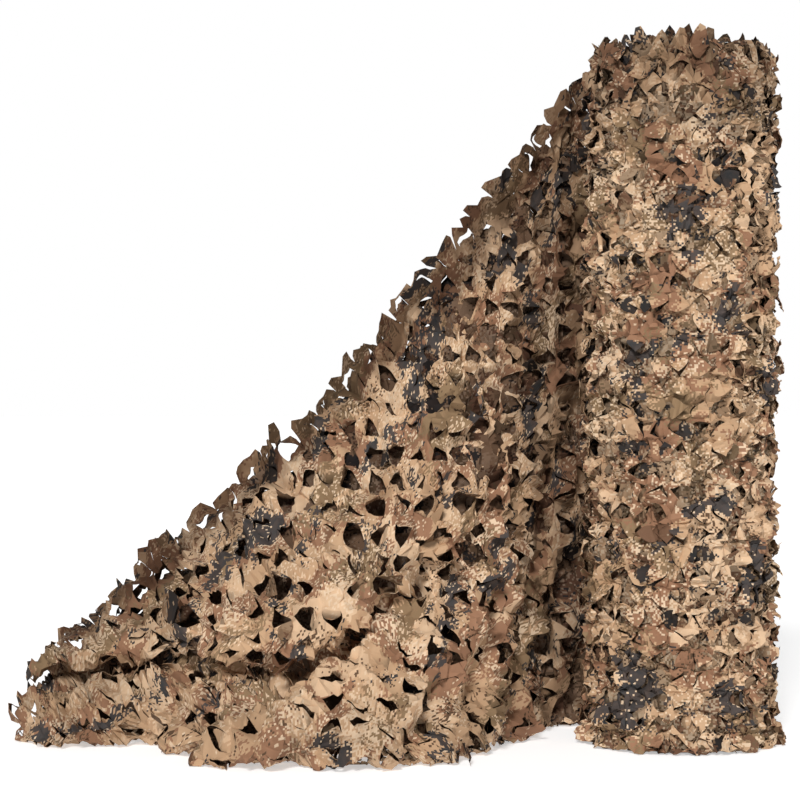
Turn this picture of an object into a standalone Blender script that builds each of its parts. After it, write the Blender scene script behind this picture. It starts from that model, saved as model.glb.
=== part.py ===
"""Leaf-cut camouflage netting: a bulk roll standing on its end, its loose end drawn out and let fall.

Metres, +Z up.  The origin is the middle of the roll's foot, on the surface it stands on.  The loose end
leaves the back of the roll, runs to -X and slopes forward, towards -Y, down to the floor.
"""
import math
from collections import namedtuple

import bpy
import numpy as np

# ---------------------------------------------------------------- driving dimensions
NET_WIDTH = 1.500              # selvedge to selvedge, the stock width of bulk camouflage net
CUTS_ACROSS = 26               # leaf cuts in that width
CUT_PITCH = NET_WIDTH / CUTS_ACROSS
CELL = 2 * CUT_PITCH           # the gaps are cut through at twice the pitch of the cloth
CELLS_ACROSS = CUTS_ACROSS // 2
CELLS_ALONG = 18
LOOSE_LENGTH = CELLS_ALONG * CELL
STEPS = 3                      # mesh steps to a cell, the middle one of them open
GAP_TURN = math.radians(20)    # each gap is turned this far, every other one the other way
GAP_GROWTH = 1.12              # and its corners lie this much further out
SHEET = 0.003                  # thickness of the sheet with its crumpled leaves
LEAF_TIP = 0.013               # how far the leaves stand past a cut edge
LEAF_RELIEF = 0.004            # how far the leaves wave out of the cloth

ROLL_RADIUS = 0.212            # to the outside of the last turn
TURN = 0.012                   # one turn of crowded leaves, as thick as the step at the roll's back
ROLL_HEIGHT = 1.482
ROLL_SIDES = 60
ROLL_ROWS = CUTS_ACROSS
ROLL_RELIEF = 0.008
FOOT_FLARE = 0.012             # the lowest leaves are pressed outwards
FOOT_FLARE_HEIGHT = 0.07
SHOULDER_DROP = 0.012          # the highest ones lean in
SHOULDER_HEIGHT = 0.05
RIM_WAVE = 0.016               # leaf tips along the top rim
END_DISH = 0.030               # the turns sink towards the roll's middle
END_TURNS = 5
TOUCH = 0.0003                 # gap between pieces that touch

NOSE = 0.045                   # height at which the sheet turns under at its foot
HEEL_RUN = 0.46                # longest run of the tucked cloth over the floor before it doubles back
HEEL_RADIUS = 0.032            # of the turn in which it doubles back
LAYER_GAP = 0.046              # height of the doubled layer over the one below it
LEDGE_MOUTH = 0.030            # half the height of the open mouth under the ledge, at most
LEDGE_MOUTH_SHARE = 0.2        # and this share of the ledge's height where it is low
LEDGE_BROW = 0.070             # the upper layer comes down upright over this height before it turns under
FULL_FOLD = 0.060              # a ledge this deep is a whole fold, a shallower one only a crease
FLUTE_DEPTH = 0.010            # upright folds beside the roll
FLUTE_PITCH = 0.120

# One row for each section of the loose end, from the roll outwards.
#   along   place on the flat cloth
#   top_*   where the upper selvedge passes
#   toe_*   the foremost point of the section, at the floor
#   belly   how far the slope bulges forward of a straight line
#   ledge_z, ledge_in   height of the fold across the slope, and how far the cloth doubles back under it
Section = namedtuple("Section", "along top_x top_y top_z toe_x toe_y belly ledge_z ledge_in")
SECTIONS = (
    Section(0.00, -TOUCH, 0.205, 1.482, -TOUCH, 0.205, 0.000, 0.55, 0.000),
    Section(0.20, -0.200, 0.208, 1.452, -0.200, 0.204, 0.000, 0.52, 0.000),
    Section(0.35, -0.290, 0.206, 1.315, -0.290, 0.110, -0.010, 0.49, 0.000),
    Section(0.50, -0.372, 0.200, 1.210, -0.352, -0.040, -0.015, 0.46, 0.000),
    Section(0.66, -0.467, 0.196, 1.100, -0.425, -0.195, -0.010, 0.42, 0.010),
    Section(0.82, -0.567, 0.192, 0.980, -0.505, -0.320, 0.005, 0.375, 0.035),
    Section(0.96, -0.657, 0.190, 0.875, -0.600, -0.400, 0.010, 0.32, 0.055),
    Section(1.12, -0.767, 0.190, 0.755, -0.740, -0.420, 0.010, 0.21, 0.075),
    Section(1.30, -0.882, 0.195, 0.620, -0.905, -0.405, 0.000, 0.184, 0.085),
    Section(1.42, -0.972, 0.200, 0.535, -1.000, -0.340, -0.005, 0.182, 0.084),
    Section(1.54, -1.062, 0.205, 0.458, -1.065, -0.215, -0.005, 0.172, 0.080),
    Section(1.64, -1.132, 0.215, 0.395, -1.125, -0.110, -0.010, 0.160, 0.095),
    Section(1.78, -1.237, 0.230, 0.305, -1.245, -0.140, -0.010, 0.152, 0.105),
    Section(1.92, -1.327, 0.255, 0.212, -1.360, -0.110, 0.000, 0.130, 0.115),
    Section(2.08, -1.385, 0.290, 0.170, -1.440, -0.010, 0.000, 0.105, 0.130),
)

# Desert colours: base colour, roughness and metallic value of each finish.
FINISHES = {
    "net_tan": ((0.50, 0.35, 0.23, 1.0), 0.85, 0.0),
    "net_brown": ((0.30, 0.20, 0.14, 1.0), 0.88, 0.0),
}


# ---------------------------------------------------------------- helpers
def finish(name):
    """A Principled material with the colour, roughness and metallic value of FINISHES."""
    colour, roughness, metallic = FINISHES[name]
    material = bpy.data.materials.new(name)
    material.use_nodes = True
    shader = material.node_tree.nodes["Principled BSDF"]
    shader.inputs["Base Color"].default_value = colour
    shader.inputs["Roughness"].default_value = roughness
    shader.inputs["Metallic"].default_value = metallic
    material.diffuse_color = colour
    return material


def add_piece(name, points, faces, material_name, collection):
    """A named object from points and faces, with its own material."""
    mesh = bpy.data.meshes.new(name)
    mesh.from_pydata([tuple(p) for p in points], [], faces)
    mesh.update()
    mesh.materials.append(finish(material_name))
    piece = bpy.data.objects.new(name, mesh)
    collection.objects.link(piece)
    return piece


def smooth_through(knots, values, at):
    """Cubic Hermite curve through values at knots, with slopes taken across each knot's neighbours."""
    knots = np.asarray(knots, float)
    values = np.asarray(values, float)
    slopes = np.gradient(values, knots)
    left = np.clip(np.searchsorted(knots, at, side="right") - 1, 0, len(knots) - 2)
    span = knots[left + 1] - knots[left]
    t = (at - knots[left]) / span
    return ((2 * t**3 - 3 * t**2 + 1) * values[left] + (t**3 - 2 * t**2 + t) * span * slopes[left]
            + (3 * t**2 - 2 * t**3) * values[left + 1] + (t**3 - t**2) * span * slopes[left + 1])


def rounded(controls, samples=16):
    """Centripetal Catmull-Rom curve through control points, an array (sections, points, 2)."""
    first = 2 * controls[:, :1] - controls[:, 1:2]
    last = 2 * controls[:, -1:] - controls[:, -2:-1]
    p = np.concatenate([first, controls, last], axis=1)
    gaps = np.sqrt(np.linalg.norm(np.diff(p, axis=1), axis=2))
    pieces = []
    for k in range(controls.shape[1] - 1):
        p0, p1, p2, p3 = (p[:, k + i] for i in range(4))
        d0, d1, d2 = (gaps[:, k + i][:, None] for i in range(3))
        slope1 = (p1 - p0) / d0 - (p2 - p0) / (d0 + d1) + (p2 - p1) / d1
        slope2 = (p2 - p1) / d1 - (p3 - p1) / (d1 + d2) + (p3 - p2) / d2
        for t in np.arange(samples) / samples:
            pieces.append((2 * t**3 - 3 * t**2 + 1) * p1 + (t**3 - 2 * t**2 + t) * slope1 * d1
                          + (3 * t**2 - 2 * t**3) * p2 + (t**3 - t**2) * slope2 * d1)
    pieces.append(controls[:, -1])
    return np.stack(pieces, axis=1)


# ---------------------------------------------------------------- the loose end
def section_columns(along):
    """Each column of SECTIONS as a smooth function of the place along the cloth."""
    knots = [row.along for row in SECTIONS]
    return {name: smooth_through(knots, [getattr(row, name) for row in SECTIONS], along)
            for name in Section._fields[1:]}


def side_profile(c):
    """The section seen from its side, as (forward, up) points from the upper selvedge to the far end.

    Down the slope, back and forth under the ledge, over the lobe, round the nose at the floor, back
    along the floor, and where cloth is left over, round the heel and forward again over itself.
    """
    reach = c["top_y"] - c["toe_y"]
    drop = c["top_z"] - NOSE / 2
    mouth = np.minimum(LEDGE_MOUTH, LEDGE_MOUTH_SHARE * c["ledge_z"])
    half = c["ledge_in"] / 2
    ledge_at = reach * (c["top_z"] - c["ledge_z"]) / drop
    brow_z = c["ledge_z"] + mouth + np.minimum(LEDGE_BROW, 0.3 * (c["top_z"] - c["ledge_z"] - mouth))
    folded = np.clip(c["ledge_in"] / FULL_FOLD, 0, 1)
    brow_at = (1 - folded) * reach * (c["top_z"] - brow_z) / drop + folded * (ledge_at + half - 0.002)
    brow = (brow_at, brow_z)
    ledge = (ledge_at + half, c["ledge_z"] + mouth)
    recess_top = (ledge_at - half, c["ledge_z"] + 0.6 * mouth)
    recess_foot = (ledge_at - half, c["ledge_z"] - 0.6 * mouth)
    lobe = (ledge_at + half, c["ledge_z"] - mouth)
    nose = (reach, NOSE + 0 * reach)

    def between(start, end, share, out):
        return (start[0] + (end[0] - start[0]) * share + out, start[1] + (end[1] - start[1]) * share)

    top = (0 * reach, c["top_z"])
    fold = c["ledge_in"]
    points = [
        top,
        between(top, brow, 0.40, 0.8 * c["belly"]),
        between(top, brow, 0.75, c["belly"]),
        brow,
        ledge,
        recess_top,
        recess_foot,
        lobe,
        between(lobe, nose, 0.55, 0.25 * fold + 0.5 * c["belly"]),
        nose,
        (reach - 0.014, 0.012 + 0 * reach),
        (reach - 0.045, 0 * reach),
        (reach - 0.120, 0 * reach),
        (reach - HEEL_RUN + 0.04, 0 * reach),
        (reach - HEEL_RUN, 0 * reach),
        (reach - HEEL_RUN - HEEL_RADIUS, HEEL_RADIUS + 0 * reach),
        (reach - HEEL_RUN, 2 * HEEL_RADIUS + 0 * reach),
        (reach - HEEL_RUN + 0.12, LAYER_GAP + 0 * reach),
        (reach - HEEL_RUN + 0.60, LAYER_GAP + 0 * reach),
    ]
    return np.stack([np.stack(np.broadcast_arrays(*p), axis=-1) for p in points], axis=1)


def drape(along, across):
    """Point of the hanging cloth for each place on the flat cloth, and its outward direction."""
    c = section_columns(along)
    curve = rounded(side_profile(c))
    curve[..., 1] = np.maximum(curve[..., 1], 0.0)
    steps = np.diff(curve, axis=1)
    lengths = np.linalg.norm(steps, axis=2)
    travelled = np.concatenate([np.zeros((len(along), 1)), np.cumsum(lengths, axis=1)], axis=1)
    piece = np.clip((travelled[:, 1:] < across[:, None]).sum(axis=1), 0, steps.shape[1] - 1)
    rows = np.arange(len(along))
    share = (across - travelled[rows, piece]) / np.maximum(lengths[rows, piece], 1e-9)
    forward, up = (curve[rows, piece] + share[:, None] * steps[rows, piece]).T
    direction = steps[rows, piece] / np.maximum(lengths[rows, piece], 1e-9)[:, None]
    out_forward, out_up = -direction[:, 1], direction[:, 0]

    flutes = FLUTE_DEPTH * np.sin(2 * math.pi * along / FLUTE_PITCH)
    flutes = flutes * np.clip((along - 0.08) / 0.10, 0, 1) * np.clip((0.75 - along) / 0.35, 0, 1)
    flutes = flutes * np.clip((up - 0.02) / 0.10, 0, 1)
    forward = forward + flutes * np.clip(out_forward, 0, 1)

    reach = np.maximum(c["top_y"] - c["toe_y"], 0.05)
    x = c["top_x"] + (c["toe_x"] - c["top_x"]) * np.clip(forward / reach, 0, 1)
    points = np.stack([x, c["top_y"] - forward, up], axis=-1)
    return points, np.stack([0 * x, -out_forward, out_up], axis=-1)


def loose_end_grid():
    """Places on the flat cloth: a square grid whose gap corners are turned about each cell's middle."""
    i, j = np.meshgrid(np.arange(CELLS_ALONG * STEPS + 1), np.arange(CELLS_ACROSS * STEPS + 1),
                       indexing="ij")
    along = i * CELL / STEPS
    across = j * CELL / STEPS
    at_gap = (i % STEPS > 0) & (j % STEPS > 0)
    middle_along = (i // STEPS + 0.5) * CELL
    middle_across = (j // STEPS + 0.5) * CELL
    turn = np.where((i // STEPS + j // STEPS) % 2, GAP_TURN, -GAP_TURN)
    da = (along - middle_along) * GAP_GROWTH
    dc = (across - middle_across) * GAP_GROWTH
    along = np.where(at_gap, middle_along + da * np.cos(turn) - dc * np.sin(turn), along)
    across = np.where(at_gap, middle_across + da * np.sin(turn) + dc * np.cos(turn), across)

    tips = LEAF_TIP * np.where((i + j) % 2, 1.0, -0.35)
    across = across - np.where(j == 0, tips, 0) + np.where(j == CELLS_ACROSS * STEPS, tips, 0)
    along = along + np.where(i == CELLS_ALONG * STEPS, tips, 0)
    return i, j, along, across


def build_loose_end(collection):
    """The draped sheet: grid faces with the middle of each cell left open, thickened inwards."""
    i, j, along, across = loose_end_grid()
    points, outward = drape(along.ravel(), across.ravel())
    waves = np.sin(2.1 * i + 0.9 * j) + np.cos(1.3 * i - 2.4 * j)
    lifted = np.clip((points[:, 2] - 0.02) / 0.05, 0, 1) * np.clip(along.ravel() / CELL, 0, 1)
    points = points + outward * (0.5 * LEAF_RELIEF * waves.ravel() * lifted)[:, None]

    columns = CELLS_ACROSS * STEPS + 1
    faces = []
    for a in range(CELLS_ALONG * STEPS):
        for b in range(CELLS_ACROSS * STEPS):
            if a % STEPS == 1 and b % STEPS == 1:
                continue
            corner = a * columns + b
            faces.append((corner, corner + columns, corner + columns + 1, corner + 1))
    sheet = add_piece("net_loose_end", points, faces, "net_brown", collection)
    wall = sheet.modifiers.new("cloth", "SOLIDIFY")
    wall.thickness = SHEET
    wall.offset = -1.0
    return sheet


# ---------------------------------------------------------------- the roll
def roll_radius(turned, height):
    """Radius of the outermost turn at an angle past the step at the back, in turns, and at a height."""
    radius = ROLL_RADIUS - TURN * (1 - turned)
    radius = radius + FOOT_FLARE * np.exp(-(height / FOOT_FLARE_HEIGHT) ** 2) * np.clip(6 * turned, 0, 1)
    radius = radius - SHOULDER_DROP * np.exp(-((ROLL_HEIGHT - height) / SHOULDER_HEIGHT) ** 2)
    around = 2 * math.pi * turned
    row = height / CUT_PITCH
    lumps = (np.sin(23 * around + 1.9 * row) + np.sin(17 * around - 2.6 * row + 1.0)
             + 0.7 * np.sin(3 * around + 0.37 * row))
    calm = np.clip(np.minimum(turned, 1 - turned) / 0.05, 0, 1)
    return radius + ROLL_RELIEF * 0.45 * lumps * calm


def build_roll(collection):
    """The wound net: spiral sections lofted from the floor to the rim, closed by a dished, stepped end."""
    turned = np.linspace(0, 1, ROLL_SIDES + 1)
    angle = math.pi / 2 + 2 * math.pi * turned
    heights = np.linspace(0, ROLL_HEIGHT, ROLL_ROWS + 1)
    ring = ROLL_SIDES + 1
    points = []
    for level, height in enumerate(heights):
        radius = roll_radius(turned, height)
        rim = RIM_WAVE * np.sin(1.9 * np.arange(ring)) if level == ROLL_ROWS else 0 * turned
        points.append(np.stack([radius * np.cos(angle), radius * np.sin(angle), height + rim], axis=-1))
    for step in range(1, END_TURNS):
        share = 1 - step / END_TURNS
        radius = share * (ROLL_RADIUS - SHOULDER_DROP - TURN * (1 - turned))
        dish = END_DISH * (1 - share) + 0.006 * (-1) ** step
        points.append(np.stack([radius * np.cos(angle), radius * np.sin(angle),
                                ROLL_HEIGHT - dish + 0 * angle], axis=-1))
    points = np.concatenate(points)
    points[::ring, 0] = 0.0
    points[ring - 1::ring, 0] = 0.0

    levels = len(points) // ring
    faces = [tuple(range(ring))[::-1]]
    for level in range(levels - 1):
        for side in range(ring):
            here = level * ring + side
            beside = level * ring + (side + 1) % ring
            faces.append((here, beside, beside + ring, here + ring))
    faces.append(tuple(range((levels - 1) * ring, levels * ring)))
    return add_piece("net_roll", points, faces, "net_tan", collection)


def main():
    for old in list(bpy.data.objects):
        bpy.data.objects.remove(old)
    net = bpy.data.collections.new("camouflage_netting")
    bpy.context.scene.collection.children.link(net)
    build_roll(net)
    build_loose_end(net)


main()
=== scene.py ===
# %% [markdown]
# # Leaf-cut camouflage netting, a roll with its loose end let fall
#
# Netting like this is one long strip of printed polyester. A die cuts rows of curved slits into it,
# and when the strip is pulled the slits open: every slit leaves a hole, and the tongue of cloth that
# filled the hole bends out of the strip as a leaf. This lesson builds that cloth cell by cell as whole
# numpy arrays, lays it over the shapes of the CAD model, and prints a desert pattern on it.

# %% The frame and the size of the CAD model
import math
from collections import namedtuple

import bpy
import numpy as np
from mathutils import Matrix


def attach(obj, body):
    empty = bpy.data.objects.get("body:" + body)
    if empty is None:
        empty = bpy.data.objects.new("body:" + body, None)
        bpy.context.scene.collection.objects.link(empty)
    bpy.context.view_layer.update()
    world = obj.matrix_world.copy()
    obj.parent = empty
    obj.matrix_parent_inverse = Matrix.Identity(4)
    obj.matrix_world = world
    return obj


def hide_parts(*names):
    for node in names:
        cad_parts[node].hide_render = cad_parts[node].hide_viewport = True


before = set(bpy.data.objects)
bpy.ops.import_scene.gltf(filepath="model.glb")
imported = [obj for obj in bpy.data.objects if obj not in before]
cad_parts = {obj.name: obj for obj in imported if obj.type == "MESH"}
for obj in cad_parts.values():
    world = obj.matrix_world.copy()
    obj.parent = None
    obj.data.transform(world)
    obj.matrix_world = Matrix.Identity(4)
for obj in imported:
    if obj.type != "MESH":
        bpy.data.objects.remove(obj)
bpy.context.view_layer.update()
print("CAD nodes:", sorted(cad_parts))

# %% [markdown]
# The camera comes first. It stands a little under half the roll's height, far enough away for a long
# lens, and looks almost level. The roll's axis is at x = 0, y = 0, so the camera is moved to the left
# of it to centre the whole drape.

# %% Camera
CAMERA_PLACE = (-0.600, -5.200, 0.788)
CAMERA_DIP = math.radians(0.592)
HALF_FRAME, FOCAL_LENGTH = 400, 2419   # in pixels of the frame
FIELD_OF_VIEW = 2 * math.atan(HALF_FRAME / FOCAL_LENGTH)


def placed(name, data):
    """A new object in the scene, made from its data."""
    thing = bpy.data.objects.new(name, data)
    bpy.context.scene.collection.objects.link(thing)
    return thing


camera_data = bpy.data.cameras.new("camera")
camera = placed("camera", camera_data)
camera_data.sensor_width = 36
camera_data.lens_unit = "FOV"
camera_data.angle = FIELD_OF_VIEW
camera_data.clip_end = 200
camera.location = CAMERA_PLACE
camera.rotation_euler = (math.pi / 2 - CAMERA_DIP, 0, 0)
bpy.context.scene.camera = camera
print("camera at", CAMERA_PLACE, "sees", round(math.degrees(FIELD_OF_VIEW), 2), "degrees")

# %% [markdown]
# ## The shape in which the loose end hangs
#
# The sheet is described by a short table of sections. Each row says where the upper selvedge passes,
# how far forward the section reaches, and where a fold crosses it. Between the rows every column is a
# smooth curve, so the whole drape is one formula: place on the flat cloth in, point in space out.

# %% Sizes of the net and its sections
NET_WIDTH = 1.500              # selvedge to selvedge
CUTS_ACROSS = 26               # leaf cuts in which the CAD model counts the width and the loose length
CUTS_ALONG = 36
LOOSE_LENGTH = CUTS_ALONG * (NET_WIDTH / CUTS_ACROSS)
NET_PITCH = NET_WIDTH / 28     # from leaf cut to leaf cut where the net hangs open
NOSE = 0.045                   # height at which the sheet turns under at its foot
HEEL_RUN = 0.46                # longest run of tucked cloth over the floor before it doubles back
HEEL_RADIUS = 0.032
LAYER_GAP = 0.046              # height of the doubled layer over the one below it
LEDGE_MOUTH = 0.030            # half the height of the mouth under the fold, at most
LEDGE_MOUTH_SHARE = 0.2        # and this share of the fold's height where it is low
LEDGE_BROW = 0.070             # the upper layer comes down upright over this height
FULL_FOLD = 0.060              # a fold this deep doubles the cloth right back
FLUTE_DEPTH = 0.010            # upright folds beside the roll
FLUTE_PITCH = 0.120
CURVE_STEPS = 16               # steps of the curve from one point of a section to the next
NOSE_POINT = 9                 # the nose's place among the points of a section

Section = namedtuple("Section", "along top_x top_y top_z toe_x toe_y belly ledge_z ledge_in")
SECTIONS = (
    Section(0.00, -0.0003, 0.205, 1.482, -0.0003, 0.205, 0.000, 0.55, 0.000),
    Section(0.20, -0.200, 0.208, 1.452, -0.200, 0.204, 0.000, 0.52, 0.000),
    Section(0.35, -0.290, 0.206, 1.315, -0.290, 0.110, -0.010, 0.49, 0.000),
    Section(0.50, -0.372, 0.200, 1.210, -0.352, -0.040, -0.015, 0.46, 0.000),
    Section(0.66, -0.467, 0.196, 1.100, -0.425, -0.195, -0.010, 0.42, 0.010),
    Section(0.82, -0.567, 0.192, 0.980, -0.505, -0.320, 0.005, 0.375, 0.035),
    Section(0.96, -0.657, 0.190, 0.875, -0.600, -0.400, 0.010, 0.32, 0.055),
    Section(1.12, -0.767, 0.190, 0.755, -0.740, -0.420, 0.010, 0.21, 0.075),
    Section(1.30, -0.882, 0.195, 0.620, -0.905, -0.405, 0.000, 0.184, 0.085),
    Section(1.42, -0.972, 0.200, 0.535, -1.000, -0.340, -0.005, 0.182, 0.084),
    Section(1.54, -1.062, 0.205, 0.458, -1.065, -0.215, -0.005, 0.172, 0.080),
    Section(1.64, -1.132, 0.215, 0.395, -1.125, -0.110, -0.010, 0.160, 0.095),
    Section(1.78, -1.237, 0.230, 0.305, -1.245, -0.140, -0.010, 0.152, 0.105),
    Section(1.92, -1.327, 0.255, 0.212, -1.360, -0.110, 0.000, 0.130, 0.115),
    Section(2.08, -1.385, 0.290, 0.170, -1.440, -0.010, 0.000, 0.105, 0.130),
)


def ramp(value, start, end):
    """Smooth step from 0 at the start to 1 at the end."""
    share = np.clip((value - start) / (end - start), 0, 1)
    return share * share * (3 - 2 * share)


def hermite_shares(t):
    """Shares of the start, its slope, the end and its slope in a cubic Hermite curve at t, 0 to 1."""
    return 2 * t**3 - 3 * t**2 + 1, t**3 - 2 * t**2 + t, 3 * t**2 - 2 * t**3, t**3 - t**2


def smooth_through(knots, values, at):
    """Cubic Hermite curve through the values, its slope at each knot taken from the neighbours."""
    knots = np.asarray(knots, float)
    values = np.asarray(values, float)
    slopes = np.gradient(values, knots)
    left = np.clip(np.searchsorted(knots, at, side="right") - 1, 0, len(knots) - 2)
    span = knots[left + 1] - knots[left]
    start, leaving, end, arriving = hermite_shares((at - knots[left]) / span)
    return (start * values[left] + leaving * span * slopes[left]
            + end * values[left + 1] + arriving * span * slopes[left + 1])


def rounded(controls, samples=CURVE_STEPS):
    """Centripetal Catmull-Rom curve through each row of control points (sections, points, 2)."""
    first = 2 * controls[:, :1] - controls[:, 1:2]
    last = 2 * controls[:, -1:] - controls[:, -2:-1]
    p = np.concatenate([first, controls, last], axis=1)
    gaps = np.sqrt(np.linalg.norm(np.diff(p, axis=1), axis=2))
    stretches = []
    for k in range(controls.shape[1] - 1):
        p0, p1, p2, p3 = (p[:, k + i] for i in range(4))
        d0, d1, d2 = (gaps[:, k + i][:, None] for i in range(3))
        slope1 = (p1 - p0) / d0 - (p2 - p0) / (d0 + d1) + (p2 - p1) / d1
        slope2 = (p2 - p1) / d1 - (p3 - p1) / (d1 + d2) + (p3 - p2) / d2
        for t in np.arange(samples) / samples:
            start, leaving, end, arriving = hermite_shares(t)
            stretches.append(start * p1 + leaving * slope1 * d1 + end * p2 + arriving * slope2 * d1)
    stretches.append(controls[:, -1])
    return np.stack(stretches, axis=1)


def side_profile(c):
    """The section seen from its side, as (forward, up) points from the upper selvedge to the far end.

    Down the slope to its brow, back and forth under the fold, over the lobe, round the nose at the floor,
    back along the floor, and round the heel and forward again over itself.
    """
    reach = c["top_y"] - c["toe_y"]
    drop = c["top_z"] - NOSE / 2
    mouth = np.minimum(LEDGE_MOUTH, LEDGE_MOUTH_SHARE * c["ledge_z"])
    half = c["ledge_in"] / 2
    ledge_at = reach * (c["top_z"] - c["ledge_z"]) / drop
    brow_z = c["ledge_z"] + mouth + np.minimum(LEDGE_BROW, 0.3 * (c["top_z"] - c["ledge_z"] - mouth))
    folded = np.clip(c["ledge_in"] / FULL_FOLD, 0, 1)
    brow_at = (1 - folded) * reach * (c["top_z"] - brow_z) / drop + folded * (ledge_at + half - 0.002)
    brow = (brow_at, brow_z)
    ledge = (ledge_at + half, c["ledge_z"] + mouth)
    recess_top = (ledge_at - half, c["ledge_z"] + 0.6 * mouth)
    recess_foot = (ledge_at - half, c["ledge_z"] - 0.6 * mouth)
    lobe = (ledge_at + half, c["ledge_z"] - mouth)
    nose = (reach, NOSE + 0 * reach)

    def between(start, end, share, out):
        """The point at a share of the way from start to end, moved forward by out."""
        return (start[0] + (end[0] - start[0]) * share + out, start[1] + (end[1] - start[1]) * share)

    top = (0 * reach, c["top_z"])
    points = [
        top,
        between(top, brow, 0.40, 0.8 * c["belly"]),
        between(top, brow, 0.75, c["belly"]),
        brow,
        ledge,
        recess_top,
        recess_foot,
        lobe,
        between(lobe, nose, 0.55, 0.25 * c["ledge_in"] + 0.5 * c["belly"]),
        nose,
        (reach - 0.014, 0.012 + 0 * reach),
        (reach - 0.045, 0 * reach),
        (reach - 0.120, 0 * reach),
        (reach - HEEL_RUN + 0.04, 0 * reach),
        (reach - HEEL_RUN, 0 * reach),
        (reach - HEEL_RUN - HEEL_RADIUS, HEEL_RADIUS + 0 * reach),
        (reach - HEEL_RUN, 2 * HEEL_RADIUS + 0 * reach),
        (reach - HEEL_RUN + 0.12, LAYER_GAP + 0 * reach),
        (reach - HEEL_RUN + 0.60, LAYER_GAP + 0 * reach),
    ]
    return np.stack([np.stack(np.broadcast_arrays(*p), axis=-1) for p in points], axis=1)


# %% [markdown]
# The drape formula is worked out once on a fine grid, 8 mm apart. Each section's curve is measured
# along its length and cut off where the width of the cloth ends, so no cloth is stretched or lost. The
# direction out of the cloth comes from the cross product of the grid's own steps.

# %% The drape as a grid of points and outward directions
GRID_ALONG = 261
GRID_ACROSS = 196
LEAST_REACH = 0.05             # a section that hangs straight down counts as reaching this far
FLUTES_BEGIN, FLUTES_FULL = 0.08, 0.10
FLUTES_END, FLUTES_FADE = 0.75, 0.35
FLUTES_UP, FLUTES_RISE = 0.02, 0.10
LEAST_FALL = 0.6               # share of the way passed that counts as fall on the flatter slope


def outward_directions(points, first=0, second=1):
    """Directions out of a gridded surface: its steps along two axes, crossed and made 1 long."""
    outward = np.cross(np.gradient(points, axis=first), np.gradient(points, axis=second))
    return outward / np.maximum(np.linalg.norm(outward, axis=-1, keepdims=True), 1e-9)


def travel(curves):
    """Lengths of the steps of each curve, and how far along its curve each point lies."""
    lengths = np.maximum(np.linalg.norm(np.diff(curves, axis=1), axis=2), 1e-9)
    return lengths, np.concatenate([0 * lengths[:, :1], np.cumsum(lengths, axis=1)], axis=1)


def section_points(c, forward, up):
    """Points in space of places in each section, which leads from the selvedge above to its toe."""
    reach = np.maximum(c["top_y"] - c["toe_y"], LEAST_REACH)[:, None]
    x = c["top_x"][:, None] + (c["toe_x"] - c["top_x"])[:, None] * np.clip(forward / reach, 0, 1)
    return np.stack([x, c["top_y"][:, None] - forward, up], axis=-1)


def flutes(place, up):
    """Upright folds beside the roll: a sine wave that grows away from roll and floor, then fades."""
    wave = FLUTE_DEPTH * np.sin(2 * math.pi * place / FLUTE_PITCH)
    wave = wave * np.clip((place - FLUTES_BEGIN) / FLUTES_FULL, 0, 1)
    wave = wave * np.clip((FLUTES_END - place) / FLUTES_FADE, 0, 1)
    return wave * np.clip((up - FLUTES_UP) / FLUTES_RISE, 0, 1)


def drape_grid():
    """Points and outward directions of the hanging cloth at even places on the flat cloth.

    Also the columns' places along the cloth, the width of cloth from the upper selvedge down to the
    nose in each column, the columns' section values, and the level of each place. That is its height,
    but above the fold at least a share of the way passed counts as fall, so that the rows of the net,
    which keep to one level, don't spread too far where the slope is flat.
    """
    along = np.linspace(0, LOOSE_LENGTH, GRID_ALONG)
    across = np.linspace(0, NET_WIDTH, GRID_ACROSS)
    knots = [row.along for row in SECTIONS]
    c = {name: smooth_through(knots, [getattr(row, name) for row in SECTIONS], along)
         for name in Section._fields[1:]}
    curve = rounded(side_profile(c))
    curve[..., 1] = np.maximum(curve[..., 1], 0.0)
    steps = np.diff(curve, axis=1)
    lengths, travelled = travel(curve)
    piece = (travelled[:, None, 1:] < across[None, :, None]).sum(axis=2)
    piece = np.clip(piece, 0, steps.shape[1] - 1)
    row = np.arange(GRID_ALONG)[:, None]
    share = (across[None, :] - travelled[row, piece]) / lengths[row, piece]
    flat = curve[row, piece] + share[..., None] * steps[row, piece]
    forward, up = flat[..., 0], flat[..., 1]
    out_forward = -steps[row, piece][..., 1] / lengths[row, piece]
    forward = forward + flutes(along[:, None], up) * np.clip(out_forward, 0, 1)
    points = section_points(c, forward, up)

    fold = c["ledge_z"][:, None]
    above_fold = ramp(up[:, 1:], fold + 0.02, fold + 0.12)
    least = 1 - (1 - LEAST_FALL) * above_fold
    fall = np.clip(-np.diff(up, axis=1) / across[1], least, 1) * across[1]
    level = c["top_z"][:, None] - np.concatenate([0 * fall[:, :1], np.cumsum(fall, axis=1)], axis=1)
    to_nose = travelled[:, NOSE_POINT * CURVE_STEPS]
    return (points, outward_directions(points)), along, to_nose, c, level


def read_grid(field, i, j):
    """Bilinear reading of a gridded field at shares i and j of its two sides."""
    i, j = i * (field.shape[0] - 1), j * (field.shape[1] - 1)
    i0 = np.clip(np.floor(i).astype(int), 0, field.shape[0] - 2)
    j0 = np.clip(np.floor(j).astype(int), 0, field.shape[1] - 2)
    s, t = (i - i0)[..., None], (j - j0)[..., None]
    return ((1 - s) * (1 - t) * field[i0, j0] + s * (1 - t) * field[i0 + 1, j0]
            + (1 - s) * t * field[i0, j0 + 1] + s * t * field[i0 + 1, j0 + 1])


def lift_off(grid, size, flat, height):
    """Point at a height above a gridded surface: its point there, moved along its outward direction."""
    points, outward = (read_grid(field, flat[..., 0] / size[0], flat[..., 1] / size[1]) for field in grid)
    return points + outward * height[..., None]


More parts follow.
